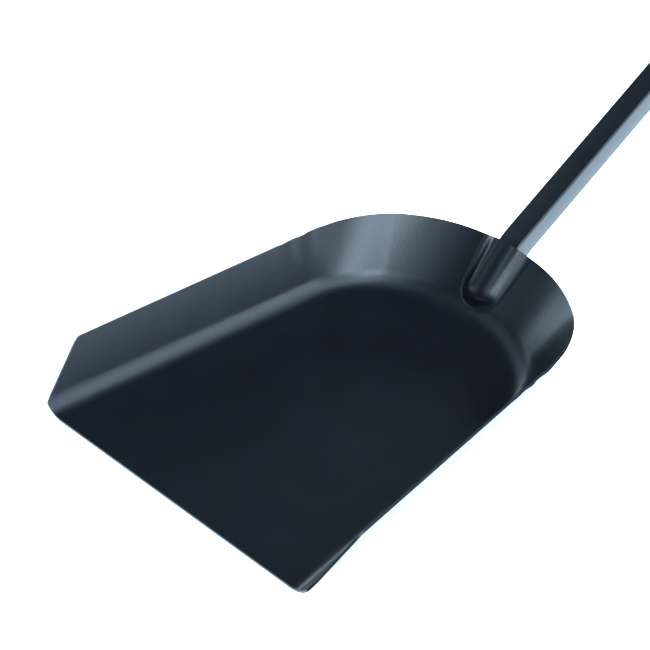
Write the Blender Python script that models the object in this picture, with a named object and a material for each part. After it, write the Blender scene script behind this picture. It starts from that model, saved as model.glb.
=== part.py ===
"""Small pressed-steel scoop shovel with a square-tube handle welded into a socket.

Frame: metres, +X across the pan, +Y from the mouth towards the handle, +Z up.
The origin is the centre of the pan's flat underside, so the shovel stands on z = 0.
"""
import math

import bmesh
import bpy
import numpy as np
from mathutils import Matrix, Vector

# ---------------------------------------------------------------- driving dimensions
SHEET = 0.0012             # pan sheet with its coat
MOUTH_WIDTH = 0.158        # floor at the front edge, between the bend corners
BACK_WIDTH = 0.124         # floor where the straight sides end
SIDE_LENGTH = 0.149        # front edge to the end of the straight sides
CORNER_RADIUS = 0.044      # plan radius of the two back corners
BACK_RADIUS = 0.077        # plan radius of the back between the corners
WALL_FRONT = 0.0255        # wall height at the mouth
WALL_BACK = 0.028          # wall height at the back
RIM_DIP = 0.0006           # drop of the rim on both sides of the socket ridge
RIM_DIP_WIDTH = 0.020
SIDE_FLARE = 0.41          # outward run of a side wall for one unit of height
BACK_FLARE = 1.0           # the same for the back wall, which leans at 45 degrees
MOUTH_SETBACK = 0.0237     # how far the top of a side wall is cut back from the mouth
SETBACK_START = 0.0044     # height over the floor where that cut begins
BEND_SIDE = 0.0073         # tangent length of the bend between floor and side wall
BEND_BACK = 0.0085         # the same at the back wall
ORIGIN_Y = 0.0925          # front edge to the centre of the flat underside

TUBE = 0.012               # square tube, outside
TUBE_WALL = 0.001
TUBE_CORNER = 0.001        # outer corner radius
TUBE_BEND_RADIUS = 0.040   # centre-line radius of the bend at the rim
HANDLE_SLOPE = math.radians(27.5)
AXIS_AT_RIM = 0.0248       # height of the tube's axis over the floor where it crosses the rim
GRIP_LENGTH = 0.344        # from the bend to the free end
SOCKET_START = 0.0145      # tube's lower end, measured up the back wall from the floor corner
SOCKET_DEPTH = 0.003       # how far the tube's axis lies under the back wall's upper surface

GAP = 0.0003               # clearance kept between touching pieces
RIDGE_CREST = 0.0137       # radius of the socket ridge's broad top
RIDGE_SHOULDER = TUBE_CORNER + GAP + SHEET   # radius of its shoulders, round the tube's corners
RIDGE_FOOT = 0.005         # radius where its sides meet the wall
RIDGE_DRAFT = math.radians(50)
FOOT_LOW = 0.0102          # half width over the feet, at the nose and at the rim
FOOT_HIGH = 0.0172
NOSE_FOOT = 0.002          # distances up the wall where the nose of the ridge
NOSE_TOP = 0.014           # begins and reaches its full height
NOSE_POWER = 2.3           # 2 gives the nose an elliptical outline, more a squarer one

BEAD_START = 0.0152        # side weld beads, measured up the back wall
BEAD_END = 0.034

PLUG_HEAD = 0.0025
PLUG_STEM = 0.010
LOOP_WIRE = 0.0015         # wire radius
LOOP_FROM_END = 0.018      # pivot to the tube's free end
LOOP_HALF_WIDTH = 0.0085
LOOP_LEG = 0.030           # pivot to the centre of the round end
LOOP_BEND = 0.003
PIN_INSIDE = 0.0038        # where the turned-in ends of the wire stop
PIVOT_HOLE = 0.0019        # radius

# ---------------------------------------------------------------- mesh resolution
BEND_STEPS = 5
WALL_STEPS = 12
SIDE_STEPS = 7
CORNER_STEPS = 9
BACK_STEPS = 4
RIDGE_STEPS = 16
FLOOR_HUB_Y = -0.02        # where the floor's triangles meet


# ---------------------------------------------------------------- small helpers
def clear_scene():
    for obj in list(bpy.data.objects):
        bpy.data.objects.remove(obj, do_unlink=True)


def make_material(name, colour, roughness, metallic=0.0):
    material = bpy.data.materials.new(name)
    material.use_nodes = True
    shader = material.node_tree.nodes["Principled BSDF"]
    shader.inputs["Base Color"].default_value = (*colour, 1.0)
    shader.inputs["Roughness"].default_value = roughness
    shader.inputs["Metallic"].default_value = metallic
    return material


def add_object(name, data, material):
    obj = bpy.data.objects.new(name, data)
    bpy.context.scene.collection.objects.link(obj)
    if material is not None:
        data.materials.append(material)
    return obj


def mesh_from(name, verts, faces):
    mesh = bpy.data.meshes.new(name)
    mesh.from_pydata([tuple(v) for v in verts], [], faces)
    mesh.validate()
    mesh.update()
    return mesh


def outward(mesh):
    """Turns every face outwards."""
    work = bmesh.new()
    work.from_mesh(mesh)
    bmesh.ops.recalc_face_normals(work, faces=work.faces)
    work.to_mesh(mesh)
    work.free()


def smooth(mesh, degrees=35):
    mesh.shade_smooth()
    mesh.set_sharp_from_angle(angle=math.radians(degrees))


# ---------------------------------------------------------------- plan outline of the pan
def plan_layout():
    """Centres, angles and lengths of the right half of the plan outline."""
    front = np.array([MOUTH_WIDTH / 2, 0.0])
    end = np.array([BACK_WIDTH / 2, SIDE_LENGTH])
    along = (end - front) / np.linalg.norm(end - front)
    side_normal = np.array([along[1], -along[0]])
    corner = end - CORNER_RADIUS * side_normal
    back_y = corner[1] - math.sqrt((BACK_RADIUS - CORNER_RADIUS) ** 2 - corner[0] ** 2)
    side_angle = math.atan2(side_normal[1], side_normal[0])
    meet_angle = math.atan2(corner[1] - back_y, corner[0])
    return {
        "front": front, "end": end, "normal": side_normal, "corner": corner, "back_y": back_y,
        "side_angle": side_angle, "meet_angle": meet_angle,
        "back_arc": BACK_RADIUS * (math.pi / 2 - meet_angle),
        "corner_arc": CORNER_RADIUS * (meet_angle - side_angle),
        "side": float(np.linalg.norm(end - front)),
    }


PLAN = plan_layout()
DEPTH = PLAN["back_y"] + BACK_RADIUS      # front edge to the floor corner at the back
HALF_OUTLINE = PLAN["back_arc"] + PLAN["corner_arc"] + PLAN["side"]


def outline(distance):
    """Plan point and outward normal, measured from the back centre along the right side."""
    if distance < PLAN["back_arc"]:
        angle = math.pi / 2 - distance / BACK_RADIUS
        normal = np.array([math.cos(angle), math.sin(angle)])
        return np.array([0.0, PLAN["back_y"]]) + BACK_RADIUS * normal, normal
    distance -= PLAN["back_arc"]
    if distance < PLAN["corner_arc"]:
        angle = PLAN["meet_angle"] - distance / CORNER_RADIUS
        normal = np.array([math.cos(angle), math.sin(angle)])
        return PLAN["corner"] + CORNER_RADIUS * normal, normal
    share = (distance - PLAN["corner_arc"]) / PLAN["side"]
    return PLAN["end"] + (PLAN["front"] - PLAN["end"]) * share, PLAN["normal"]


# ---------------------------------------------------------------- wall section and ridge
def section(row, point, normal):
    """Offset from the floor corner, and height, of a row of the wall at a plan point.

    Rows 0 to 1 follow the bend, rows 1 to 2 the straight wall up to the rim.
    """
    lean = max(normal[1], 0.0) ** 2
    flare = SIDE_FLARE * (1 - lean) + BACK_FLARE * lean
    height = WALL_FRONT + (WALL_BACK - WALL_FRONT) * min(max(point[1] / DEPTH, 0.0), 1.0)
    height -= RIM_DIP * math.exp(-(point[0] / RIM_DIP_WIDTH) ** 2) * lean
    slope = math.atan2(1.0, flare)
    tangent = BEND_SIDE + (BEND_BACK - BEND_SIDE) * lean
    if row <= 1:
        radius = tangent / math.tan(slope / 2)
        angle = slope * row
        return -tangent + radius * math.sin(angle), radius * (1 - math.cos(angle))
    low = tangent * math.sin(slope)
    rise = low + (height - low) * (row - 1)
    return rise * flare, rise


def ridge_foot():
    """Half width of the ridge at its foot, before it narrows towards the nose."""
    drop = CORNER_OUT + RIDGE_SHOULDER * math.cos(RIDGE_DRAFT) - RIDGE_FOOT * (1 - math.cos(RIDGE_DRAFT))
    arcs = (RIDGE_SHOULDER + RIDGE_FOOT) * math.sin(RIDGE_DRAFT)
    return CORNER_ACROSS + arcs + drop / math.tan(RIDGE_DRAFT)


CORNER_ACROSS = TUBE / 2 - TUBE_CORNER        # centre of the tube's corner rounding,
CORNER_OUT = CORNER_ACROSS - SOCKET_DEPTH     # across the wall and out of it
FOOT = ridge_foot()


def ridge_profile(across):
    """Height of the ridge over the wall at a distance from its middle."""
    if across >= FOOT:
        return 0.0
    crest_run = RIDGE_CREST - RIDGE_SHOULDER
    crest_centre = CORNER_OUT - math.sqrt(crest_run ** 2 - CORNER_ACROSS ** 2)
    shoulder_end = CORNER_ACROSS + RIDGE_SHOULDER * math.sin(RIDGE_DRAFT)
    foot_start = FOOT - RIDGE_FOOT * math.sin(RIDGE_DRAFT)
    if across < RIDGE_CREST * CORNER_ACROSS / crest_run:
        return crest_centre + math.sqrt(RIDGE_CREST ** 2 - across ** 2)
    if across < shoulder_end:
        return CORNER_OUT + math.sqrt(RIDGE_SHOULDER ** 2 - (across - CORNER_ACROSS) ** 2)
    if across < foot_start:
        top = CORNER_OUT + RIDGE_SHOULDER * math.cos(RIDGE_DRAFT)
        return top - (across - shoulder_end) * math.tan(RIDGE_DRAFT)
    return RIDGE_FOOT - math.sqrt(RIDGE_FOOT ** 2 - (FOOT - across) ** 2)


def ridge(across, up_wall):
    """Height of the socket ridge above the back wall."""
    share = min(max(up_wall / (WALL_BACK * math.sqrt(2)), 0.0), 1.0)
    foot = FOOT_LOW + (FOOT_HIGH - FOOT_LOW) * share
    spread = abs(across)
    if spread > CORNER_ACROSS:
        spread = CORNER_ACROSS + (spread - CORNER_ACROSS) * (FOOT - CORNER_ACROSS) / (foot - CORNER_ACROSS)
    nose = max(NOSE_TOP - up_wall, 0.0) / (NOSE_TOP - NOSE_FOOT)
    reach = ((spread / FOOT) ** NOSE_POWER + nose ** NOSE_POWER) ** (1 / NOSE_POWER)
    return ridge_profile(reach * FOOT)


WALL_UP = np.array([0.0, math.sqrt(0.5), math.sqrt(0.5)])     # up the back wall
WALL_OUT = np.array([0.0, -math.sqrt(0.5), math.sqrt(0.5)])   # square to it, into the pan
FLOOR_CORNER = np.array([0.0, DEPTH - ORIGIN_Y, SHEET])


def on_wall(across, up_wall, out):
    """A point in the frame of the back wall's centre line."""
    return FLOOR_CORNER + np.array([across, 0.0, 0.0]) + WALL_UP * up_wall + WALL_OUT * out


def pan_point(distance, row):
    """A point of the pan's upper surface; negative distances are the left half."""
    reach = abs(distance)
    side_start = PLAN["back_arc"] + PLAN["corner_arc"]
    if reach > side_start:
        offset, height = section(row, PLAN["front"], PLAN["normal"])
        setback = MOUTH_SETBACK * max(height - SETBACK_START, 0.0) / (WALL_FRONT - SETBACK_START)
        cut = (setback - offset * PLAN["normal"][1]) / PLAN["normal"][0]
        reach = side_start + (reach - side_start) * (1 - cut / PLAN["side"])
    point, normal = outline(reach)
    offset, height = section(row, point, normal)
    plan = point + normal * offset
    result = np.array([plan[0], plan[1] - ORIGIN_Y, height + SHEET])
    from_corner = result - FLOOR_CORNER
    lift = ridge(result[0], float(from_corner @ WALL_UP))
    result = result + WALL_OUT * lift
    return result * np.array([math.copysign(1.0, distance), 1.0, 1.0])


def pan_normal(distance, row):
    """Unit normal of the upper surface, pointing into the pan."""
    step = 1e-5
    low, high = max(distance - step, -HALF_OUTLINE), min(distance + step, HALF_OUTLINE)
    along = pan_point(high, row) - pan_point(low, row)
    if row < step:
        return np.array([0.0, 0.0, 1.0])
    up = pan_point(distance, min(row + step, 2.0)) - pan_point(distance, row - step)
    normal = np.cross(along, up)
    return normal / np.linalg.norm(normal)


def pan_columns():
    """Distances of the columns of the pan's mesh, closest together across the ridge."""
    ridge_end = FOOT_HIGH + 0.0005
    half = list(np.linspace(0.0, ridge_end, RIDGE_STEPS + 1))
    half += list(np.linspace(ridge_end, PLAN["back_arc"], BACK_STEPS + 1)[1:])
    corner_end = PLAN["back_arc"] + PLAN["corner_arc"]
    half += list(np.linspace(PLAN["back_arc"], corner_end, CORNER_STEPS + 1)[1:])
    half += list(np.linspace(corner_end, HALF_OUTLINE, SIDE_STEPS + 1)[1:])
    return [-value for value in reversed(half[1:])] + half


def build_pan(material):
    """Floor, bend, wall and socket ridge as one sheet of even thickness."""
    columns = pan_columns()
    rows = [k / BEND_STEPS for k in range(BEND_STEPS)]
    rows += [1 + k / WALL_STEPS for k in range(WALL_STEPS + 1)]
    wide, tall = len(columns), len(rows)
    upper, lower = [], []
    for row in rows:
        for distance in columns:
            point = pan_point(distance, row)
            upper.append(point)
            lower.append(point - SHEET * pan_normal(distance, row))
    faces = []
    shift = wide * tall
    for j in range(tall - 1):
        for i in range(wide - 1):
            a, b = j * wide + i, j * wide + i + 1
            c, d = b + wide, a + wide
            faces.append((a, b, c, d))
            faces.append((a + shift, d + shift, c + shift, b + shift))
    rim = [(tall - 1) * wide + i for i in range(wide)]
    left = [j * wide for j in range(tall)]
    right = [j * wide + wide - 1 for j in reversed(range(tall))]
    mouth = [wide - 1, 0]
    for edge in (rim, left, right, mouth):
        for a, b in zip(edge, edge[1:]):
            faces.append((a, b, b + shift, a + shift))
    hub = [np.array([0.0, FLOOR_HUB_Y, SHEET]), np.array([0.0, FLOOR_HUB_Y, 0.0])]
    hub_upper, hub_lower = 2 * shift, 2 * shift + 1
    for i in range(wide):
        k = (i + 1) % wide
        faces.append((hub_upper, k, i))
        faces.append((hub_lower, i + shift, k + shift))
    mesh = mesh_from("scoop_pan", upper + lower + hub, faces)
    smooth(mesh)
    return add_object("scoop_pan", mesh, material)


# ---------------------------------------------------------------- handle
def handle_path():
    """Centre-line points, with the tube's upward direction at each, and the free end."""
    turn = math.pi / 4 - HANDLE_SLOPE
    tangent = TUBE_BEND_RADIUS * math.tan(turn / 2)
    slant = math.tan(HANDLE_SLOPE)
    under = SOCKET_DEPTH * math.sqrt(2)
    knee_back = (AXIS_AT_RIM - WALL_BACK * slant + under) / (1 - slant)
    knee_up = (2 * knee_back - under) / math.sqrt(2)
    points = [on_wall(0, up_wall, -SOCKET_DEPTH) for up_wall in (SOCKET_START, knee_up - tangent)]
    angles = [math.pi / 4] * 2
    bend_centre = points[1] - WALL_OUT * TUBE_BEND_RADIUS
    steps = 4
    for k in range(1, steps + 1):
        angle = math.pi / 4 - turn * k / steps
        out = np.array([0.0, -math.sin(angle), math.cos(angle)])
        points.append(bend_centre + out * TUBE_BEND_RADIUS)
        angles.append(angle)
    along = np.array([0.0, math.cos(HANDLE_SLOPE), math.sin(HANDLE_SLOPE)])
    points.append(points[-1] + along * GRIP_LENGTH)
    angles.append(HANDLE_SLOPE)
    return points, angles


def rounded_square(size, radius, steps=3):
    """Corner-rounded square in the plane across the tube, counter-clockwise."""
    points = []
    inset = size / 2 - radius
    for corner in range(4):
        start = corner * math.pi / 2
        centre = (math.copysign(inset, math.cos(start + math.pi / 4)),
                  math.copysign(inset, math.sin(start + math.pi / 4)))
        for k in range(steps + 1):
            angle = start + math.pi / 2 * k / steps
            points.append((centre[0] + radius * math.cos(angle), centre[1] + radius * math.sin(angle)))
    return points


def swept(profile, points, angles):
    """Rings of a profile carried along a path in the plane x = 0."""
    rings = []
    for point, angle in zip(points, angles):
        up = np.array([0.0, -math.sin(angle), math.cos(angle)])
        rings.append([point + np.array([x, 0.0, 0.0]) + up * z for x, z in profile])
    return rings


def build_handle(material):
    """Hollow square tube, open at both ends, cross-drilled near the free end."""
    points, angles = handle_path()
    outer = swept(rounded_square(TUBE, TUBE_CORNER), points, angles)
    inner_size = TUBE - 2 * TUBE_WALL
    inner = swept(rounded_square(inner_size, TUBE_CORNER / 2), points, angles)
    count = len(outer[0])
    verts = [v for ring in outer + inner for v in ring]
    shift = len(outer) * count
    faces = []
    for base, rings in ((0, outer), (shift, inner)):
        for j in range(len(rings) - 1):
            for i in range(count):
                a, b = base + j * count + i, base + j * count + (i + 1) % count
                faces.append((a, b, b + count, a + count) if base == 0 else (b, a, a + count, b + count))
    last = (len(outer) - 1) * count
    for i in range(count):
        k = (i + 1) % count
        faces.append((i, i + shift, k + shift, k))
        faces.append((last + i, last + k, last + k + shift, last + i + shift))
    mesh = mesh_from("handle_tube", verts, faces)
    outward(mesh)
    tube = add_object("handle_tube", mesh, material)
    drill = build_drill(pivot_point())
    hole = tube.modifiers.new("pivot holes", "BOOLEAN")
    hole.object = drill
    hole.operation = "DIFFERENCE"
    hole.solver = "EXACT"
    return tube


def pivot_point():
    """Centre of the hang loop's pivot."""
    points, _ = handle_path()
    along = np.array([0.0, math.cos(HANDLE_SLOPE), math.sin(HANDLE_SLOPE)])
    return points[-1] - along * LOOP_FROM_END


def build_drill(centre):
    """Guide that cuts the pivot holes through both sides of the tube."""
    work = bmesh.new()
    turn = Matrix.Rotation(math.pi / 2, 4, "Y")
    bmesh.ops.create_cone(work, cap_ends=True, segments=20, radius1=PIVOT_HOLE,
                          radius2=PIVOT_HOLE, depth=TUBE * 2, matrix=turn)
    mesh = bpy.data.meshes.new("pivot_drill")
    work.to_mesh(mesh)
    work.free()
    drill = add_object("pivot_drill", mesh, None)
    drill.location = Vector(centre)
    drill.hide_render = True
    drill.display_type = "WIRE"
    return drill


# ---------------------------------------------------------------- weld beads
def prism(name, loops, material):
    """Closed solid through matching loops of points."""
    count = len(loops[0])
    verts = [v for loop in loops for v in loop]
    faces = [tuple(range(count)), tuple(range(len(verts) - count, len(verts)))]
    for j in range(len(loops) - 1):
        for i in range(count):
            a, b = j * count + i, j * count + (i + 1) % count
            faces.append((a, b, b + count, a + count))
    mesh = mesh_from(name, verts, faces)
    outward(mesh)
    smooth(mesh, 50)
    return add_object(name, mesh, material)


def build_side_weld(name, hand, material):
    """Fillet bead along one side of the tube, under the back wall."""
    inner = TUBE / 2 + GAP
    profile = [(inner, 0.0009), (0.0078, 0.0000), (0.0096, -0.0012), (0.0092, -0.0029),
               (0.0080, -0.0043), (inner, -0.0052)]
    ends = [(BEAD_START, 0.55), (BEAD_START + 0.0012, 1.0), (BEAD_END - 0.0012, 1.0), (BEAD_END, 0.55)]
    loops = []
    for up_wall, share in ends:
        loop = [on_wall(hand * (inner + (x - inner) * share), up_wall, -0.0020 + (h + 0.0020) * share)
                for x, h in profile]
        loops.append(loop)
    return prism(name, loops, material)


def build_toe_weld(material):
    """Bead that closes the tube's lower end against the inside of the ridge's nose."""
    face = SOCKET_START - GAP
    profile = [(face, 0.0020), (face, -0.0074), (0.0126, -0.0070), (0.0106, -0.0058),
               (0.0090, -0.0042), (0.0084, -0.0026), (0.0092, -0.0010), (0.0110, 0.0008)]
    loops = []
    for across, share in ((-0.0058, 0.6), (-0.0046, 1.0), (0.0046, 1.0), (0.0058, 0.6)):
        loop = [on_wall(across, face - (face - up) * share, -0.0030 + (out + 0.0030) * share)
                for up, out in profile]
        loops.append(loop)
    return prism("weld_toe", loops, material)


# ---------------------------------------------------------------- end plug and hang loop
def build_plug(material):
    """Square press-in plug: a domed head and a stem inside the tube."""
    points, _ = handle_path()
    stem = TUBE / 2 - TUBE_WALL - GAP
    layers = [(-PLUG_STEM, stem - 0.0008), (-PLUG_STEM + 0.0015, stem), (GAP, stem),
              (GAP, TUBE / 2), (PLUG_HEAD - 0.0010, TUBE / 2), (PLUG_HEAD - 0.0003, TUBE / 2 - 0.0006),
              (PLUG_HEAD, TUBE / 2 - 0.0016)]
    along = np.array([0.0, math.cos(HANDLE_SLOPE), math.sin(HANDLE_SLOPE)])
    loops = []
    for distance, half in layers:
        profile = rounded_square(2 * half, TUBE_CORNER * half / (TUBE / 2))
        loops += swept(profile, [points[-1] + along * distance], [HANDLE_SLOPE])
    return prism("end_plug", loops, material)


def loop_route():
    """Centre line of the wire, from one turned-in end to the other, hanging down."""
    right = [(PIN_INSIDE, 0.0)]
    centre = (LOOP_HALF_WIDTH - LOOP_BEND, -LOOP_BEND)
    for k in range(5):
        angle = math.pi / 2 * (1 - k / 4)
        right.append((centre[0] + LOOP_BEND * math.cos(angle), centre[1] + LOOP_BEND * math.sin(angle)))
    right.append((LOOP_HALF_WIDTH, -LOOP_LEG / 2))
    for k in range(9):
        angle = -math.pi / 2 * k / 8
        right.append((LOOP_HALF_WIDTH * math.cos(angle), -LOOP_LEG + LOOP_HALF_WIDTH * math.sin(angle)))
    return right + [(-x, z) for x, z in reversed(right[:-1])]


def build_loop(material):
    """Wire hang loop that swings on its turned-in ends; its origin is on that axis."""
    curve = bpy.data.curves.new("hang_loop", "CURVE")
    curve.dimensions = "3D"
    spline = curve.splines.new("POLY")
    route = loop_route()
    spline.points.add(len(route) - 1)
    for point, (x, z) in zip(spline.points, route):
        point.co = (x, 0.0, z, 1.0)
    curve.bevel_depth = LOOP_WIRE
    curve.bevel_resolution = 3
    curve.use_fill_caps = True
    loop = add_object("hang_loop", curve, material)
    loop.location = Vector(pivot_point())
    return loop


# ---------------------------------------------------------------- assembly
def main():
    clear_scene()
    pan_coat = make_material("pan powder coat", (0.020, 0.028, 0.037), 0.38)
    tube_coat = make_material("handle powder coat", (0.018, 0.025, 0.034), 0.36)
    weld_coat = make_material("coated weld", (0.021, 0.028, 0.036), 0.45)
    plastic = make_material("black plastic", (0.012, 0.012, 0.013), 0.55)
    zinc = make_material("zinc-plated wire", (0.55, 0.56, 0.57), 0.35, 1.0)
    build_pan(pan_coat)
    build_handle(tube_coat)
    build_side_weld("weld_left", -1, weld_coat)
    build_side_weld("weld_right", 1, weld_coat)
    build_toe_weld(weld_coat)
    build_plug(plastic)
    build_loop(zinc)


main()
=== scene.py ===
"""Looks of the small pressed-steel scoop shovel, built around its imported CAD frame.

Frame: metres, +X across the pan, +Y from the mouth towards the handle, +Z up.
"""
import math

import bmesh
import bpy
import numpy as np
from mathutils import Matrix, Vector


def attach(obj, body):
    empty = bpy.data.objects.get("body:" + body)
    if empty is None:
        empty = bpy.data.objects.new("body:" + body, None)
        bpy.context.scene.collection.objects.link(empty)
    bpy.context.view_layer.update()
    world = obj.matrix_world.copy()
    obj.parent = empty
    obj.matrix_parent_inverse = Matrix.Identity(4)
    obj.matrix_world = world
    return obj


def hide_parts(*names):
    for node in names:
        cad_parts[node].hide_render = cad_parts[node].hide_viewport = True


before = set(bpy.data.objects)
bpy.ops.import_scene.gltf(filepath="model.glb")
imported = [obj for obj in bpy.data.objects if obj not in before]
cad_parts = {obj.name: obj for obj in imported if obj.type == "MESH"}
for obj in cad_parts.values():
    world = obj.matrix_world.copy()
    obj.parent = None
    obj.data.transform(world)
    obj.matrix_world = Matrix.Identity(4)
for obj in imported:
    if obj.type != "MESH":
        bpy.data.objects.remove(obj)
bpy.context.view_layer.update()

# ---------------------------------------------------------------- dimensions of the CAD part
SHEET = 0.0012             # pan sheet with its coat
MOUTH_WIDTH = 0.158        # floor at the front edge, between the bend corners
BACK_WIDTH = 0.124         # floor where the straight sides end
SIDE_LENGTH = 0.149        # front edge to the end of the straight sides
CORNER_RADIUS = 0.044      # plan radius of the two back corners
BACK_RADIUS = 0.077        # plan radius of the back between the corners
WALL_FRONT = 0.0255        # wall height at the mouth
WALL_BACK = 0.028          # wall height at the back
RIM_DIP = 0.0006           # drop of the rim on both sides of the socket ridge
RIM_DIP_WIDTH = 0.020
SIDE_FLARE = 0.41          # outward run of a side wall for one unit of height
BACK_FLARE = 1.0           # the same for the back wall, which leans at 45 degrees
MOUTH_SETBACK = 0.0237     # how far the top of a side wall is cut back from the mouth
SETBACK_START = 0.0044     # height over the floor where that cut begins
BEND_SIDE = 0.0073         # tangent length of the bend between floor and side wall
BEND_BACK = 0.0085         # the same at the back wall
ORIGIN_Y = 0.0925          # front edge to the centre of the flat underside

TUBE = 0.012               # square tube, outside
TUBE_WALL = 0.001
TUBE_CORNER = 0.001        # outer corner radius
TUBE_BEND_RADIUS = 0.040   # centre-line radius of the bend at the rim
HANDLE_SLOPE = math.radians(27.5)
AXIS_AT_RIM = 0.0248       # height of the tube's axis over the floor where it crosses the rim
GRIP_LENGTH = 0.344        # from the bend to the free end
SOCKET_START = 0.0145      # tube's lower end, measured up the back wall from the floor corner
SOCKET_DEPTH = 0.003       # how far the tube's axis lies under the back wall's upper surface
CORNER_ACROSS = TUBE / 2 - TUBE_CORNER      # centre of the tube's corner rounding,
CORNER_OUT = CORNER_ACROSS - SOCKET_DEPTH   # across the wall and out of it

GAP = 0.0003               # clearance kept between touching pieces
RIDGE_CREST = 0.0137       # radius of the socket ridge's broad top
RIDGE_SHOULDER = TUBE_CORNER + GAP + SHEET   # radius of its shoulders, round the tube's corners
RIDGE_FOOT = 0.005         # radius where its sides meet the wall
RIDGE_DRAFT = math.radians(50)
FOOT_LOW = 0.0102          # half width over the feet, at the nose and at the rim
FOOT_HIGH = 0.0172
NOSE_FOOT = 0.002          # distances up the wall where the nose of the ridge
NOSE_TOP = 0.014           # begins and reaches its full height
NOSE_POWER = 2.3           # 2 gives the nose an elliptical outline, more a squarer one

BEAD_START = 0.0152        # side weld beads, measured up the back wall
BEAD_END = 0.034

PLUG_HEAD = 0.0025
PLUG_STEM = 0.010
LOOP_WIRE = 0.0015         # wire radius
LOOP_FROM_END = 0.018      # pivot to the tube's free end
LOOP_HALF_WIDTH = 0.0085
LOOP_LEG = 0.030           # pivot to the centre of the round end
LOOP_BEND = 0.003
PIN_INSIDE = 0.0038        # where the turned-in ends of the wire stop
PIVOT_HOLE = 0.0019        # radius

# ---------------------------------------------------------------- detail that only the looks have
EDGE_ROUND = 0.00045       # rounding that the coat gives the sheared edge of the sheet
CORNER_CUT = 0.0022        # length of the rounding at the top front corner of a side wall
PUCKER_HEIGHT = 0.00034    # slight waves in the rim where the straight sides end
PUCKER_LENGTH = 0.0120     # one wave, along the outline
PUCKER_CENTRE = 0.084      # middle of the waved stretch, along the outline from the back centre
PUCKER_SPREAD = 0.013
FUSED = 0.0002             # how far a weld bead runs into the tube
BEAD_RIPPLE = 0.0017       # length of one ripple of a side weld
BEAD_REACH = 0.0038        # its size away from the tube and down the tube's side
BEAD_DROP = 0.0043
BEAD_LAG = 0.0005          # how far the middle of a ripple trails its edges
TOE_RIPPLE = 0.0016        # the same for the weld across the tube's lower end
TOE_HALF_WIDTH = 0.0058
TOE_LENGTH = 0.0060        # its size down the wall
TOE_MIDDLE = -0.0028       # its middle and half sizes, out of the wall
TOE_HALF_FACE = 0.0048
TOE_HALF_BEAD = 0.0046
HIGHLIGHT_BAND = 0.08           # share of the wall, from the rim, that gets a painted highlight (the coat is also thinner there)
END_BAND = 0.02            # length at the front ends that counts as one share

# ---------------------------------------------------------------- photographic view
LENS = 118.91
SENSOR = 36.0
VIEW_AZIMUTH = math.radians(41.81)
VIEW_ELEVATION = math.radians(37.43)
VIEW_ROLL = math.radians(3.515)
VIEW_TARGET = Vector((-0.04162, 0.04553, 0.0))
VIEW_DISTANCE = 1.02


# ---------------------------------------------------------------- helpers
def link(name, data, material, body, slot, *nodes):
    """Adds a piece with its finish and body and hides the CAD nodes that it stands for; the slot is not
    used.
    """
    obj = bpy.data.objects.new(name, data)
    bpy.context.scene.collection.objects.link(obj)
    data.materials.append(material)
    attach(obj, body)
    if nodes:
        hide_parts(*nodes)
    return obj


def mesh_from(name, verts, faces, sharp=35):
    """Closed mesh with its faces turned out, shaded smooth below the given angle."""
    mesh = bpy.data.meshes.new(name)
    mesh.from_pydata([tuple(v) for v in verts], [], faces)
    work = bmesh.new()
    work.from_mesh(mesh)
    bmesh.ops.recalc_face_normals(work, faces=work.faces)
    work.to_mesh(mesh)
    work.free()
    mesh.shade_smooth()
    mesh.set_sharp_from_angle(angle=math.radians(sharp))
    return mesh


def set_attribute(mesh, name, values):
    attribute = mesh.attributes.new(name, "FLOAT", "POINT")
    attribute.data.foreach_set("value", np.asarray(values, np.float32))


def smoothstep(value):
    value = np.clip(value, 0.0, 1.0)
    return value * value * (3 - 2 * value)


def spaced(start, end, count, end_share=1.0):
    """Values from start to end; an end share under 1 draws the last ones closer together."""
    share = np.linspace(0.0, 1.0, count + 1)
    eased = 1 - (1 - share) ** (1 / end_share)
    return start + (end - start) * eased


# ---------------------------------------------------------------- plan outline of the pan
def plan_layout():
    """Centres, angles and lengths of the right half of the plan outline."""
    front = np.array([MOUTH_WIDTH / 2, 0.0])
    end = np.array([BACK_WIDTH / 2, SIDE_LENGTH])
    along = (end - front) / np.linalg.norm(end - front)
    side_normal = np.array([along[1], -along[0]])
    corner = end - CORNER_RADIUS * side_normal
    back_y = corner[1] - math.sqrt((BACK_RADIUS - CORNER_RADIUS) ** 2 - corner[0] ** 2)
    side_angle = math.atan2(side_normal[1], side_normal[0])
    meet_angle = math.atan2(corner[1] - back_y, corner[0])
    return {
        "front": front, "end": end, "normal": side_normal, "corner": corner, "back_y": back_y,
        "side_angle": side_angle, "meet_angle": meet_angle,
        "back_arc": BACK_RADIUS * (math.pi / 2 - meet_angle),
        "corner_arc": CORNER_RADIUS * (meet_angle - side_angle),
        "side": float(np.linalg.norm(end - front)),
    }


PLAN = plan_layout()
DEPTH = PLAN["back_y"] + BACK_RADIUS
SIDE_START = PLAN["back_arc"] + PLAN["corner_arc"]
HALF_OUTLINE = SIDE_START + PLAN["side"]


def outline(distance):
    """Plan points and outward normals, measured from the back centre along the right side."""
    on_back = math.pi / 2 - distance / BACK_RADIUS
    on_corner = PLAN["meet_angle"] - (distance - PLAN["back_arc"]) / CORNER_RADIUS
    angle = np.where(distance < PLAN["back_arc"], on_back, np.maximum(on_corner, PLAN["side_angle"]))
    normal = np.stack([np.cos(angle), np.sin(angle)], -1)
    back = np.array([0.0, PLAN["back_y"]]) + BACK_RADIUS * normal
    corner = PLAN["corner"] + CORNER_RADIUS * normal
    along = (PLAN["front"] - PLAN["end"]) / PLAN["side"]
    run = np.maximum(distance - SIDE_START, 0.0)[..., None]
    point = np.where((distance < PLAN["back_arc"])[..., None], back, corner + along * run)
    return point, normal


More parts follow.
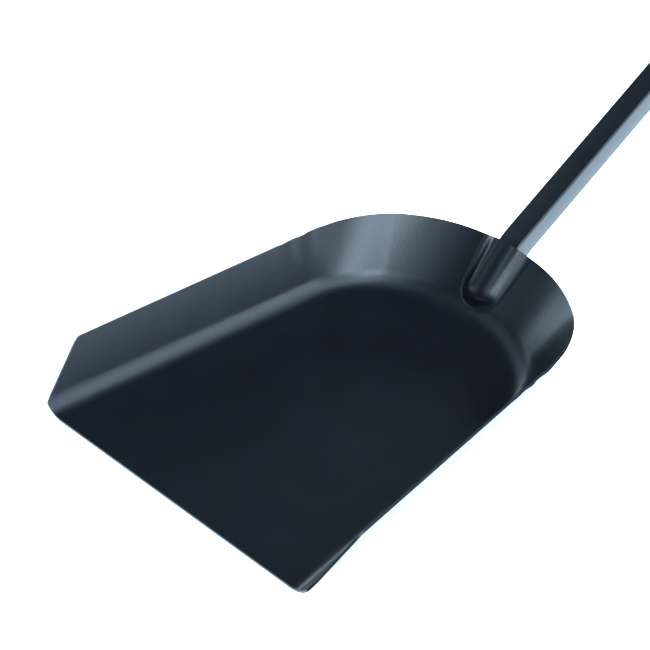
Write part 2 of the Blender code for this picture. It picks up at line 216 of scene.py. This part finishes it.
# ---------------------------------------------------------------- wall section and ridge
def section(row, point, normal):
    """Offset from the floor corner, and height, of a row of the wall at plan points.

    Rows 0 to 1 follow the bend, rows 1 to 2 the straight wall up to the rim.
    """
    lean = np.maximum(normal[..., 1], 0.0) ** 2
    flare = SIDE_FLARE * (1 - lean) + BACK_FLARE * lean
    height = WALL_FRONT + (WALL_BACK - WALL_FRONT) * np.clip(point[..., 1] / DEPTH, 0.0, 1.0)
    height = height - RIM_DIP * np.exp(-(point[..., 0] / RIM_DIP_WIDTH) ** 2) * lean
    slope = np.arctan2(1.0, flare)
    tangent = BEND_SIDE + (BEND_BACK - BEND_SIDE) * lean
    radius = tangent / np.tan(slope / 2)
    angle = slope * np.minimum(row, 1.0)
    low = tangent * np.sin(slope)
    rise = low + (height - low) * (row - 1)
    in_bend = row <= 1
    offset = np.where(in_bend, radius * np.sin(angle) - tangent, rise * flare)
    return offset, np.where(in_bend, radius * (1 - np.cos(angle)), rise)


def ridge_foot():
    """Half width of the ridge at its foot, before it narrows towards the nose."""
    drop = CORNER_OUT + RIDGE_SHOULDER * math.cos(RIDGE_DRAFT) - RIDGE_FOOT * (1 - math.cos(RIDGE_DRAFT))
    arcs = (RIDGE_SHOULDER + RIDGE_FOOT) * math.sin(RIDGE_DRAFT)
    return CORNER_ACROSS + arcs + drop / math.tan(RIDGE_DRAFT)


FOOT = ridge_foot()


def arc_height(radius, offset):
    return np.sqrt(np.maximum(radius ** 2 - offset ** 2, 0.0))


def ridge_profile(across):
    """Height of the ridge over the wall at a distance from its middle."""
    crest_run = RIDGE_CREST - RIDGE_SHOULDER
    crest_end = RIDGE_CREST * CORNER_ACROSS / crest_run
    shoulder_end = CORNER_ACROSS + RIDGE_SHOULDER * math.sin(RIDGE_DRAFT)
    foot_start = FOOT - RIDGE_FOOT * math.sin(RIDGE_DRAFT)
    crest = CORNER_OUT - math.sqrt(crest_run ** 2 - CORNER_ACROSS ** 2) + arc_height(RIDGE_CREST, across)
    shoulder = CORNER_OUT + arc_height(RIDGE_SHOULDER, across - CORNER_ACROSS)
    top = CORNER_OUT + RIDGE_SHOULDER * math.cos(RIDGE_DRAFT)
    straight = top - (across - shoulder_end) * math.tan(RIDGE_DRAFT)
    low = RIDGE_FOOT - arc_height(RIDGE_FOOT, FOOT - across)
    places = [across < crest_end, across < shoulder_end, across < foot_start, across < FOOT]
    return np.select(places, [crest, shoulder, straight, low], 0.0)


def ridge(across, up_wall):
    """Height of the socket ridge above the back wall."""
    share = np.clip(up_wall / (WALL_BACK * math.sqrt(2)), 0.0, 1.0)
    foot = FOOT_LOW + (FOOT_HIGH - FOOT_LOW) * share
    beyond = np.maximum(np.abs(across) - CORNER_ACROSS, 0.0)
    flank = beyond * (FOOT - CORNER_ACROSS) / (foot - CORNER_ACROSS)
    spread = np.minimum(np.abs(across), CORNER_ACROSS) + flank
    nose = np.maximum(NOSE_TOP - up_wall, 0.0) / (NOSE_TOP - NOSE_FOOT)
    reach = ((spread / FOOT) ** NOSE_POWER + nose ** NOSE_POWER) ** (1 / NOSE_POWER)
    return ridge_profile(reach * FOOT)


WALL_UP = np.array([0.0, math.sqrt(0.5), math.sqrt(0.5)])     # up the back wall
WALL_OUT = np.array([0.0, -math.sqrt(0.5), math.sqrt(0.5)])   # square to it, into the pan
FLOOR_CORNER = np.array([0.0, DEPTH - ORIGIN_Y, SHEET])


def on_wall(across, up_wall, out):
    """A point in the frame of the back wall's centre line."""
    return FLOOR_CORNER + np.array([across, 0.0, 0.0]) + WALL_UP * up_wall + WALL_OUT * out


def mouth_setback(height):
    """How far the front end of a side wall is cut back at a height, with a rounded top corner."""
    slant = MOUTH_SETBACK / (WALL_FRONT - SETBACK_START)
    drop = np.clip((height - (WALL_FRONT - CORNER_CUT)) / CORNER_CUT, 0.0, 1.0)
    rounding = CORNER_CUT * 0.9 * (1 - np.sqrt(1 - drop ** 2))
    return slant * np.maximum(height - SETBACK_START, 0.0) + rounding


def pucker(reach, row):
    """Waves of the sheet where the straight sides end, growing towards the rim."""
    near = np.exp(-((reach - PUCKER_CENTRE) / PUCKER_SPREAD) ** 2)
    wave = np.sin(2 * math.pi * (reach - PUCKER_CENTRE) / PUCKER_LENGTH)
    return PUCKER_HEIGHT * near * wave * np.clip(row - 1, 0.0, 1.0) ** 3


def pan_surface(distance, row):
    """Points of the pan's upper surface; negative distances are the left half."""
    reach = np.abs(distance)
    front = np.broadcast_to(PLAN["front"], (*reach.shape, 2))
    side = np.broadcast_to(PLAN["normal"], (*reach.shape, 2))
    offset, height = section(row, front, side)
    cut = (mouth_setback(height) - offset * PLAN["normal"][1]) / PLAN["normal"][0]
    reach = np.where(reach > SIDE_START, SIDE_START + (reach - SIDE_START) * (1 - cut / PLAN["side"]), reach)
    point, normal = outline(reach)
    offset, height = section(row, point, normal)
    wave = pucker(reach, row)
    plan = point + normal * (offset + wave)[..., None]
    result = np.stack([plan[..., 0], plan[..., 1] - ORIGIN_Y, height + SHEET - 0.5 * np.abs(wave)], -1)
    lift = ridge(result[..., 0], (result - FLOOR_CORNER) @ WALL_UP)
    result = result + WALL_OUT * lift[..., None]
    result[..., 0] *= np.where(distance < 0, -1.0, 1.0)
    return result


def pan_normals(distance, row):
    """Unit normals of the upper surface, pointing into the pan."""
    step = 1e-5
    along = (pan_surface(np.minimum(distance + step, HALF_OUTLINE), row)
             - pan_surface(np.maximum(distance - step, -HALF_OUTLINE), row))
    up = (pan_surface(distance, np.minimum(row + step, 2.0))
          - pan_surface(distance, np.maximum(row - step, 0.0)))
    normal = np.cross(along, up)
    normal /= np.linalg.norm(normal, axis=-1, keepdims=True)
    normal[row < step] = (0.0, 0.0, 1.0)
    return normal


def pan_columns():
    """Distances of the mesh columns, closest together across the ridge and the puckers."""
    ridge_end = FOOT_HIGH + 0.0005
    stops = [(0.0, ridge_end, 44), (ridge_end, PLAN["back_arc"], 26),
             (PLAN["back_arc"], SIDE_START, 44), (SIDE_START, PUCKER_CENTRE + 3 * PUCKER_SPREAD, 36),
             (PUCKER_CENTRE + 3 * PUCKER_SPREAD, HALF_OUTLINE, 60)]
    half = [0.0]
    for start, end, count in stops:
        half += list(np.linspace(start, end, count + 1)[1:])
    return np.array([-value for value in reversed(half[1:])] + half)


def build_pan(material):
    """Floor, bend, wall and socket ridge as one sheet with a rounded, coated edge."""
    columns = pan_columns()
    rows = np.concatenate([np.linspace(0, 1, 15)[:-1], spaced(1.0, 2.0, 34, 0.62)])
    row_grid, column_grid = np.meshgrid(rows, columns, indexing="ij")
    upper = pan_surface(column_grid, row_grid)
    lower = upper - SHEET * pan_normals(column_grid, row_grid)
    tall, wide = row_grid.shape
    shift = tall * wide
    centre = wide // 2
    faces = []
    for j in range(tall - 1):
        for i in range(wide - 1):
            a, b = j * wide + i, j * wide + i + 1
            c, d = b + wide, a + wide
            faces += [(a, b, c, d), (a + shift, d + shift, c + shift, b + shift)]
    for k in range(centre):
        left, right = centre - k, centre + k
        span = [left, left - 1, right + 1, right] if k else [left, left - 1, right + 1]
        faces += [tuple(span), tuple(v + shift for v in reversed(span))]
    rim = [(tall - 1) * wide + i for i in range(wide)]
    ends = [[j * wide for j in range(tall)], [j * wide + wide - 1 for j in reversed(range(tall))]]
    for edge in (rim, *ends, [wide - 1, 0]):
        faces += [(a, b, b + shift, a + shift) for a, b in zip(edge, edge[1:])]
    mesh = mesh_from("scoop_pan_skin", np.concatenate([upper.reshape(-1, 3), lower.reshape(-1, 3)]), faces)
    # Painted highlight: the edge mask lightens the coat near the rim and at the front ends.
    from_rim = np.minimum(2 - row_grid, (HALF_OUTLINE - np.abs(column_grid)) / END_BAND)
    edge = smoothstep(1 - from_rim / HIGHLIGHT_BAND).ravel()
    set_attribute(mesh, "edge", np.tile(edge, 2))
    pan = link("scoop_pan_skin", mesh, material, "shovel", "pan_coat", "scoop_pan")
    rounding = pan.modifiers.new("rounded edge", "BEVEL")
    rounding.width = EDGE_ROUND
    rounding.segments = 3
    rounding.limit_method = "ANGLE"
    rounding.angle_limit = math.radians(60)
    return pan


# ---------------------------------------------------------------- handle
def handle_path(bend_steps=14):
    """Centre-line points and slopes of the tube, from the socket to the free end."""
    turn = math.pi / 4 - HANDLE_SLOPE
    tangent = TUBE_BEND_RADIUS * math.tan(turn / 2)
    slant = math.tan(HANDLE_SLOPE)
    under = SOCKET_DEPTH * math.sqrt(2)
    knee_back = (AXIS_AT_RIM - WALL_BACK * slant + under) / (1 - slant)
    knee_up = (2 * knee_back - under) / math.sqrt(2)
    points = [on_wall(0, up_wall, -SOCKET_DEPTH) for up_wall in (SOCKET_START, knee_up - tangent)]
    angles = [math.pi / 4] * 2
    bend_centre = points[1] - WALL_OUT * TUBE_BEND_RADIUS
    for k in range(1, bend_steps + 1):
        angle = math.pi / 4 - turn * k / bend_steps
        out = np.array([0.0, -math.sin(angle), math.cos(angle)])
        points.append(bend_centre + out * TUBE_BEND_RADIUS)
        angles.append(angle)
    points.append(points[-1] + ALONG_HANDLE * GRIP_LENGTH)
    angles.append(HANDLE_SLOPE)
    return points, angles


ALONG_HANDLE = np.array([0.0, math.cos(HANDLE_SLOPE), math.sin(HANDLE_SLOPE)])


def rounded_square(size, radius, steps=8):
    """Corner-rounded square in the plane across the tube, counter-clockwise."""
    points = []
    inset = size / 2 - radius
    for corner in range(4):
        start = corner * math.pi / 2
        centre = (math.copysign(inset, math.cos(start + math.pi / 4)),
                  math.copysign(inset, math.sin(start + math.pi / 4)))
        for k in range(steps + 1):
            angle = start + math.pi / 2 * k / steps
            points.append((centre[0] + radius * math.cos(angle), centre[1] + radius * math.sin(angle)))
    return points


def swept(profile, points, angles):
    """Rings of a profile carried along a path in the plane x = 0."""
    rings = []
    for point, angle in zip(points, angles):
        up = np.array([0.0, -math.sin(angle), math.cos(angle)])
        rings.append([point + np.array([x, 0.0, 0.0]) + up * z for x, z in profile])
    return rings


def tube_faces(rings, count, base, flip):
    faces = []
    for j in range(rings - 1):
        for i in range(count):
            a, b = base + j * count + i, base + j * count + (i + 1) % count
            quad = (a, b, b + count, a + count)
            faces.append(quad[::-1] if flip else quad)
    return faces


def build_handle(material):
    """Hollow square tube with rounded cut ends and drilled pivot holes."""
    points, angles = handle_path()
    outer = swept(rounded_square(TUBE, TUBE_CORNER), points, angles)
    inner = swept(rounded_square(TUBE - 2 * TUBE_WALL, TUBE_CORNER / 2), points, angles)
    count, rings = len(outer[0]), len(outer)
    shift = rings * count
    faces = tube_faces(rings, count, 0, False) + tube_faces(rings, count, shift, True)
    last = shift - count
    for i in range(count):
        k = (i + 1) % count
        faces += [(i, i + shift, k + shift, k), (last + i, last + k, last + k + shift, last + i + shift)]
    mesh = mesh_from("handle_tube_skin", [v for ring in outer + inner for v in ring], faces)
    # Painted highlight: the edge mask lightens the coat along the tube's rounded corners.
    across = np.array([abs(x) * 2 / TUBE for x, _ in rounded_square(TUBE, TUBE_CORNER)])
    upward = np.array([abs(z) * 2 / TUBE for _, z in rounded_square(TUBE, TUBE_CORNER)])
    edge = smoothstep((np.minimum(across, upward) - 0.85) / 0.12)
    set_attribute(mesh, "edge", np.tile(edge, 2 * rings))
    tube = link("handle_tube_skin", mesh, material, "shovel", "handle_coat", "handle_tube")
    hole = tube.modifiers.new("pivot holes", "BOOLEAN")
    hole.object = build_drill(pivot_point())
    hole.solver = "EXACT"
    bake_modifiers(tube)
    return tube


def pivot_point():
    return handle_path()[0][-1] - ALONG_HANDLE * LOOP_FROM_END


def build_drill(centre):
    """Guide that cuts the pivot holes through both sides of the tube."""
    work = bmesh.new()
    turn = Matrix.Rotation(math.pi / 2, 4, "Y")
    bmesh.ops.create_cone(work, cap_ends=True, segments=48, radius1=PIVOT_HOLE,
                          radius2=PIVOT_HOLE, depth=TUBE * 2, matrix=turn)
    mesh = bpy.data.meshes.new("pivot_drill")
    work.to_mesh(mesh)
    work.free()
    drill = bpy.data.objects.new("pivot_drill", mesh)
    bpy.context.scene.collection.objects.link(drill)
    drill.location = Vector(centre)
    return drill


def bake_modifiers(obj):
    """Keeps the evaluated mesh and removes the modifiers and their guides."""
    bpy.context.view_layer.update()
    guides = [m.object for m in obj.modifiers if m.type == "BOOLEAN"]
    evaluated = obj.evaluated_get(bpy.context.evaluated_depsgraph_get())
    mesh = bpy.data.meshes.new_from_object(evaluated)
    obj.modifiers.clear()
    obj.data = mesh
    for guide in guides:
        bpy.data.objects.remove(guide, do_unlink=True)


# ---------------------------------------------------------------- weld beads
def bead_shape(start, end, ripple, steps):
    """Positions along a bead with, at each, its swelling: full in the middle, round at the ends."""
    for k in range(steps + 1):
        share = k / steps
        place = start + (end - start) * share
        cap = math.sqrt(max(1 - (abs(2 * share - 1)) ** 8, 0.0))
        wave = abs(math.sin(math.pi * (place - start) / ripple)) ** 0.6
        yield place, 0.25 + 0.75 * cap, wave


def build_side_weld(name, hand, material):
    """Rippled fillet bead along one side of the tube, fused to the underside of the back wall."""
    inner = TUBE / 2 - FUSED
    loops = []
    for up_wall, swell, wave in bead_shape(BEAD_START, BEAD_END, BEAD_RIPPLE, 88):
        size = swell * (0.92 + 0.08 * wave)
        profile = [(0.0, 0.0012), (0.0020, 0.0004)]
        for k in range(13):
            angle = math.pi / 2 * k / 12
            profile.append((BEAD_REACH * math.cos(angle) ** 0.9,
                            -0.0009 - BEAD_DROP * math.sin(angle) ** 0.9))
        lag = [0.0, 0.0] + [BEAD_LAG * math.sin(math.pi * k / 12) for k in range(13)]
        loops.append([on_wall(hand * (inner + x * size), up_wall - back, out * size)
                      for (x, out), back in zip(profile, lag)])
    return bead_piece(name, loops, material)


def build_toe_weld(material):
    """Rippled bead that closes the tube's lower end inside the ridge's nose."""
    face = SOCKET_START + FUSED
    loops = []
    for across, swell, wave in bead_shape(-TOE_HALF_WIDTH, TOE_HALF_WIDTH, TOE_RIPPLE, 56):
        size = swell * (0.92 + 0.08 * wave)
        loop = [on_wall(across, face, TOE_MIDDLE + TOE_HALF_FACE * swell),
                on_wall(across, face, TOE_MIDDLE - TOE_HALF_FACE * swell)]
        for k in range(1, 16):
            angle = math.pi * k / 16
            up_wall = face - TOE_LENGTH * size * math.sin(angle) ** 0.8
            loop.append(on_wall(across, up_wall, TOE_MIDDLE - TOE_HALF_BEAD * math.cos(angle) * swell))
        loops.append(loop)
    return bead_piece("weld_toe_bead", loops, material)


def bead_piece(name, loops, material):
    count = len(loops[0])
    faces = [tuple(range(count)), tuple(range((len(loops) - 1) * count, len(loops) * count))]
    faces += tube_faces(len(loops), count, 0, False)
    mesh = mesh_from(name, [v for loop in loops for v in loop], faces, 50)
    # The weld beads get no painted edge highlight.
    set_attribute(mesh, "edge", np.zeros(len(mesh.vertices)))
    return link(name, mesh, material, "shovel", "weld_coat", name.replace("_bead", ""))


# ---------------------------------------------------------------- end plug and hang loop
def build_plug(material):
    """Moulded press-in plug: a softly domed head and a ribbed stem inside the tube."""
    end = handle_path()[0][-1]
    stem = TUBE / 2 - TUBE_WALL - GAP
    layers = [(-PLUG_STEM, stem - 0.0010), (-PLUG_STEM + 0.0006, stem - 0.0006)]
    for rib in range(4):
        start = -PLUG_STEM + 0.0012 + rib * 0.0022
        layers += [(start, stem - 0.0006), (start + 0.0002, stem), (start + 0.0008, stem),
                   (start + 0.0014, stem - 0.0006)]
    layers += [(GAP, stem - 0.0006), (GAP, TUBE / 2 - 0.0002), (GAP + 0.0002, TUBE / 2)]
    fillet = 0.0011
    for k in range(9):
        angle = math.pi / 2 * k / 8
        layers.append((PLUG_HEAD - 0.0004 - fillet + fillet * math.sin(angle),
                       TUBE / 2 - fillet + fillet * math.cos(angle)))
    layers += [(PLUG_HEAD - 0.0002, 0.0032), (PLUG_HEAD, 0.0012)]
    loops = []
    for distance, half in layers:
        profile = rounded_square(2 * half, TUBE_CORNER * half / (TUBE / 2))
        loops += swept(profile, [end + ALONG_HANDLE * distance], [HANDLE_SLOPE])
    count = len(loops[0])
    faces = [tuple(range(count)), tuple(range((len(loops) - 1) * count, len(loops) * count))]
    faces += tube_faces(len(loops), count, 0, False)
    mesh = mesh_from("end_plug_cap", [v for loop in loops for v in loop], faces, 40)
    return link("end_plug_cap", mesh, material, "shovel", "plug_plastic", "end_plug")


def loop_route():
    """Centre line of the wire, from one turned-in end to the other, hanging down."""
    right = [(PIN_INSIDE + 0.0002 * k, 0.0) for k in range(9)]
    centre = (LOOP_HALF_WIDTH - LOOP_BEND, -LOOP_BEND)
    for k in range(17):
        angle = math.pi / 2 * (1 - k / 16)
        right.append((centre[0] + LOOP_BEND * math.cos(angle), centre[1] + LOOP_BEND * math.sin(angle)))
    right += [(LOOP_HALF_WIDTH, -LOOP_BEND - (LOOP_LEG - LOOP_BEND) * k / 8) for k in range(1, 8)]
    for k in range(33):
        angle = -math.pi / 2 * k / 32
        right.append((LOOP_HALF_WIDTH * math.cos(angle), -LOOP_LEG + LOOP_HALF_WIDTH * math.sin(angle)))
    return right + [(-x, z) for x, z in reversed(right[:-1])]


def build_loop(material):
    """Drawn-wire hang loop with rounded wire ends, turned in to the drilled holes."""
    route = [np.array([x, 0.0, z]) for x, z in loop_route()]
    pivot = pivot_point()
    sides = 28
    loops = []
    for k, point in enumerate(route):
        before, after = route[max(k - 1, 0)], route[min(k + 1, len(route) - 1)]
        along = (after - before) / np.linalg.norm(after - before)
        across = np.array([along[2], 0.0, -along[0]])
        from_end = min(k, len(route) - 1 - k)
        radius = LOOP_WIRE * (0.72, 0.9, 1.0)[min(from_end, 2)]
        ring = []
        for i in range(sides):
            angle = 2 * math.pi * i / sides
            ring.append(pivot + point + radius * (across * math.cos(angle)
                                                  + np.array([0.0, math.sin(angle), 0.0])))
        loops.append(ring)
    faces = [tuple(range(sides)), tuple(range((len(loops) - 1) * sides, len(loops) * sides))]
    faces += tube_faces(len(loops), sides, 0, False)
    mesh = mesh_from("hang_loop_wire", [v for ring in loops for v in ring], faces, 40)
    return link("hang_loop_wire", mesh, material, "hang_loop", "loop_wire", "hang_loop")


# ---------------------------------------------------------------- materials
class Nodes:
    """Small builder for a Principled material fed by procedural textures."""

    def __init__(self, name):
        self.material = bpy.data.materials.new(name)
        self.material.use_nodes = True
        self.tree = self.material.node_tree
        self.shader = self.tree.nodes["Principled BSDF"]
        self.place = self.add("ShaderNodeTexCoord").outputs["Object"]

    def add(self, kind, **settings):
        node = self.tree.nodes.new(kind)
        for key, value in settings.items():
            if hasattr(node, key):
                setattr(node, key, value)
            else:
                node.inputs[key.replace("_", " ")].default_value = value
        return node

    def join(self, output, socket):
        self.tree.links.new(output, socket)

    def noise(self, scale, detail=2.0, roughness=0.5, stretch=None):
        node = self.add("ShaderNodeTexNoise", Scale=scale, Detail=detail, Roughness=roughness)
        place = self.place
        if stretch:
            mapping = self.add("ShaderNodeMapping", Scale=stretch)
            self.join(place, mapping.inputs["Vector"])
            place = mapping.outputs["Vector"]
        self.join(place, node.inputs["Vector"])
        return node.outputs["Fac"]

    def scaled(self, value, low, high, to_low, to_high):
        """Maps a value from one range to another, held at its ends."""
        node = self.add("ShaderNodeMapRange", From_Min=low, From_Max=high, To_Min=to_low, To_Max=to_high)
        self.join(value, node.inputs["Value"])
        return node.outputs["Result"]

    def math(self, operation, first, second):
        node = self.add("ShaderNodeMath", operation=operation)
        for k, value in enumerate((first, second)):
            if isinstance(value, float):
                node.inputs[k].default_value = value
            else:
                self.join(value, node.inputs[k])
        return node.outputs[0]

    def mixed(self, share, first, second):
        """Mixes two colours, each a tuple or an output."""
        node = self.add("ShaderNodeMix", data_type="RGBA")
        self.join(share, node.inputs[0])
        for socket, colour in ((node.inputs[6], first), (node.inputs[7], second)):
            if isinstance(colour, tuple):
                socket.default_value = (*colour, 1.0)
            else:
                self.join(colour, socket)
        return node.outputs[2]

    def bump(self, height, distance, strength=1.0, under=None):
        node = self.add("ShaderNodeBump", Distance=distance, Strength=strength)
        self.join(height, node.inputs["Height"])
        if under is not None:
            self.join(under, node.inputs["Normal"])
        return node.outputs["Normal"]

    def finish(self, colour, roughness, normal):
        self.join(colour, self.shader.inputs["Base Color"])
        self.join(roughness, self.shader.inputs["Roughness"])
        self.join(normal, self.shader.inputs["Normal"])
        return self.material


def powder_coat(name, colour, roughness, peel, edge_highlight=1.7):
    """Satin powder coat: orange peel, faint clouding, a few dust nibs and a painted highlight on the edges,
    where the coat is also thinner.
    """
    nodes = Nodes(name)
    light = tuple(c * 1.10 for c in colour)
    dark = tuple(c * 0.90 for c in colour)
    cloud = nodes.noise(38.0, 3.0, 0.55)
    base = nodes.mixed(nodes.scaled(cloud, 0.35, 0.65, 0.0, 1.0), dark, light)
    nib_noise = nodes.noise(640.0, 1.0, 0.4)
    nib = nodes.scaled(nib_noise, 0.765, 0.80, 0.0, 1.0)
    base = nodes.mixed(nib, base, tuple(c * 2.2 + 0.008 for c in colour))
    # Painted highlight: the edge mask, broken up by noise, lightens the colour towards the edges.
    edge = nodes.add("ShaderNodeAttribute", attribute_name="edge").outputs["Fac"]
    highlight_breakup = nodes.scaled(nodes.noise(160.0, 4.0, 0.6), 0.42, 0.62, 0.0, 0.6)
    base = nodes.mixed(nodes.math("MULTIPLY", edge, highlight_breakup), base, tuple(c * edge_highlight for c in colour))
    rough = nodes.scaled(nodes.noise(52.0, 4.0, 0.6), 0.3, 0.7, roughness - 0.025, roughness + 0.03)
    coarse = nodes.noise(430.0, 2.0, 0.5)
    fine = nodes.noise(1300.0, 2.0, 0.6)
    normal = nodes.bump(coarse, peel)
    normal = nodes.bump(fine, peel * 0.35, under=normal)
    nodes.shader.inputs["IOR"].default_value = 1.5
    return nodes.finish(base, rough, normal)


def moulded_plastic():
    """Black injection-moulded plastic with a fine spark-eroded texture."""
    nodes = Nodes("moulded plastic")
    base = nodes.mixed(nodes.scaled(nodes.noise(210.0, 3.0), 0.4, 0.6, 0.0, 1.0),
                       (0.010, 0.010, 0.011), (0.016, 0.016, 0.017))
    rough = nodes.scaled(nodes.noise(420.0, 2.0), 0.3, 0.7, 0.48, 0.60)
    return nodes.finish(base, rough, nodes.bump(nodes.noise(2400.0, 3.0, 0.7), 0.00004))


def zinc_wire():
    """Zinc-plated drawn wire: a cloudy grey film over fine marks along the wire."""
    nodes = Nodes("zinc wire")
    cloud = nodes.noise(260.0, 3.0, 0.6)
    base = nodes.mixed(nodes.scaled(cloud, 0.38, 0.64, 0.0, 1.0), (0.44, 0.45, 0.47), (0.62, 0.63, 0.65))
    rough = nodes.scaled(nodes.noise(300.0, 4.0, 0.6), 0.3, 0.7, 0.26, 0.42)
    marks = nodes.noise(900.0, 2.0, 0.6, stretch=(1.0, 3.0, 0.12))
    nodes.shader.inputs["Metallic"].default_value = 1.0
    return nodes.finish(base, rough, nodes.bump(marks, 0.00003))


# ---------------------------------------------------------------- floor, light and camera
FLOOR_HALF = 6.0
FLOOR_DROP = 0.0003        # the floor lies just under the pan
FLOOR_TINT = (0.63, 0.84, 1.0)
FLOOR_GLOW = 3.2
WORLD_GLOW = 0.05
COOL = (0.62, 0.81, 1.0)
SOFTBOX_SIZE = 1.2
SOFTBOX_DISTANCE = 2.5
SOFTBOXES = [              # name, azimuth from +X towards +Y, elevation, radiance
    ("key_front", 324, 50, 11.0),
    ("key_side", 345, 28, 11.0),
    ("bend_side", 32, 28, 5.0),
    ("side_low", 0, 6, 5.0),
    ("side_low_back", 30, 6, 4.0),
    ("side_back", 36, 50, 3.5),
    ("side_high", 0, 50, 2.4),
    ("top_back", 20, 71, 2.6),
    ("top_front", 320, 71, 3.5),
    ("top", 0, 90, 0.8),
    ("front_high", 288, 50, 1.8),
    ("rear_high", 72, 50, 1.2),
    ("rear_low", 120, 6, 11.0),
    ("rear_left_low", 155, 6, 5.0),
    ("left_low", 185, 6, 4.5),
    ("left", 165, 28, 1.2),
    ("left_front", 225, 28, 1.1),
    ("left_front_low", 215, 6, 2.6),
    ("left_high", 190, 50, 0.8),
]


def build_stage():
    """Plain pale floor, lit from within so that it stays even behind the object."""
    mesh = bpy.data.meshes.new("studio_floor")
    corners = [(-1, -1), (1, -1), (1, 1), (-1, 1)]
    mesh.from_pydata([(x * FLOOR_HALF, y * FLOOR_HALF, 0) for x, y in corners], [], [(0, 1, 2, 3)])
    floor = bpy.data.objects.new("studio_floor", mesh)
    bpy.context.scene.collection.objects.link(floor)
    floor.location.z = -FLOOR_DROP
    material = bpy.data.materials.new("studio_floor")
    material.use_nodes = True
    shader = material.node_tree.nodes["Principled BSDF"]
    shader.inputs["Base Color"].default_value = (0.8, 0.8, 0.8, 1.0)
    shader.inputs["Roughness"].default_value = 0.9
    shader.inputs["Emission Color"].default_value = (*FLOOR_TINT, 1.0)
    shader.inputs["Emission Strength"].default_value = FLOOR_GLOW
    mesh.materials.append(material)


def build_softbox(name, azimuth, elevation, radiance):
    """Round softbox that faces the object from a direction given in degrees."""
    lamp = bpy.data.lights.new(name, "AREA")
    lamp.shape = "DISK"
    lamp.size = SOFTBOX_SIZE
    lamp.color = COOL
    lamp.energy = radiance * (math.pi * SOFTBOX_SIZE / 2) ** 2
    softbox = bpy.data.objects.new(name, lamp)
    bpy.context.scene.collection.objects.link(softbox)
    turn, lift = math.radians(azimuth), math.radians(elevation)
    towards = Vector((math.cos(lift) * math.cos(turn), math.cos(lift) * math.sin(turn), math.sin(lift)))
    softbox.location = towards * SOFTBOX_DISTANCE
    softbox.rotation_euler = towards.to_track_quat("Z", "Y").to_euler()
    softbox.visible_camera = False


def build_lights():
    for softbox in SOFTBOXES:
        build_softbox(*softbox)
    world = bpy.data.worlds.new("studio")
    world.use_nodes = True
    world.node_tree.nodes["Background"].inputs["Color"].default_value = (*COOL, 1.0)
    world.node_tree.nodes["Background"].inputs["Strength"].default_value = WORLD_GLOW
    bpy.context.scene.world = world


def build_camera():
    """Camera at the photograph's azimuth, elevation, roll and focal length."""
    back = Vector((math.sin(VIEW_AZIMUTH) * math.cos(VIEW_ELEVATION),
                   -math.cos(VIEW_AZIMUTH) * math.cos(VIEW_ELEVATION), math.sin(VIEW_ELEVATION)))
    level = Vector((math.cos(VIEW_AZIMUTH), math.sin(VIEW_AZIMUTH), 0.0))
    upright = back.cross(level)
    right = math.cos(VIEW_ROLL) * level + math.sin(VIEW_ROLL) * upright
    up = back.cross(right)
    data = bpy.data.cameras.new("camera")
    data.lens = LENS
    data.sensor_width = SENSOR
    data.clip_start = 0.05
    data.clip_end = 30.0
    camera = bpy.data.objects.new("camera", data)
    bpy.context.scene.collection.objects.link(camera)
    turn = Matrix((right, up, back)).transposed().to_4x4()
    camera.matrix_world = Matrix.Translation(VIEW_TARGET + back * VIEW_DISTANCE) @ turn
    bpy.context.scene.camera = camera
    bpy.context.scene.view_settings.view_transform = "Standard"


# ---------------------------------------------------------------- assembly
pan_coat = powder_coat("pan powder coat", (0.0045, 0.0060, 0.0085), 0.30, 0.000035)
handle_coat = powder_coat("handle powder coat", (0.0045, 0.0060, 0.0085), 0.30, 0.000030)
weld_coat = powder_coat("coated weld", (0.0050, 0.0066, 0.0090), 0.36, 0.000050)
build_pan(pan_coat)
build_handle(handle_coat)
build_side_weld("weld_left_bead", -1, weld_coat)
build_side_weld("weld_right_bead", 1, weld_coat)
build_toe_weld(weld_coat)
build_plug(moulded_plastic())
build_loop(zinc_wire())
build_stage()
build_lights()
build_camera()
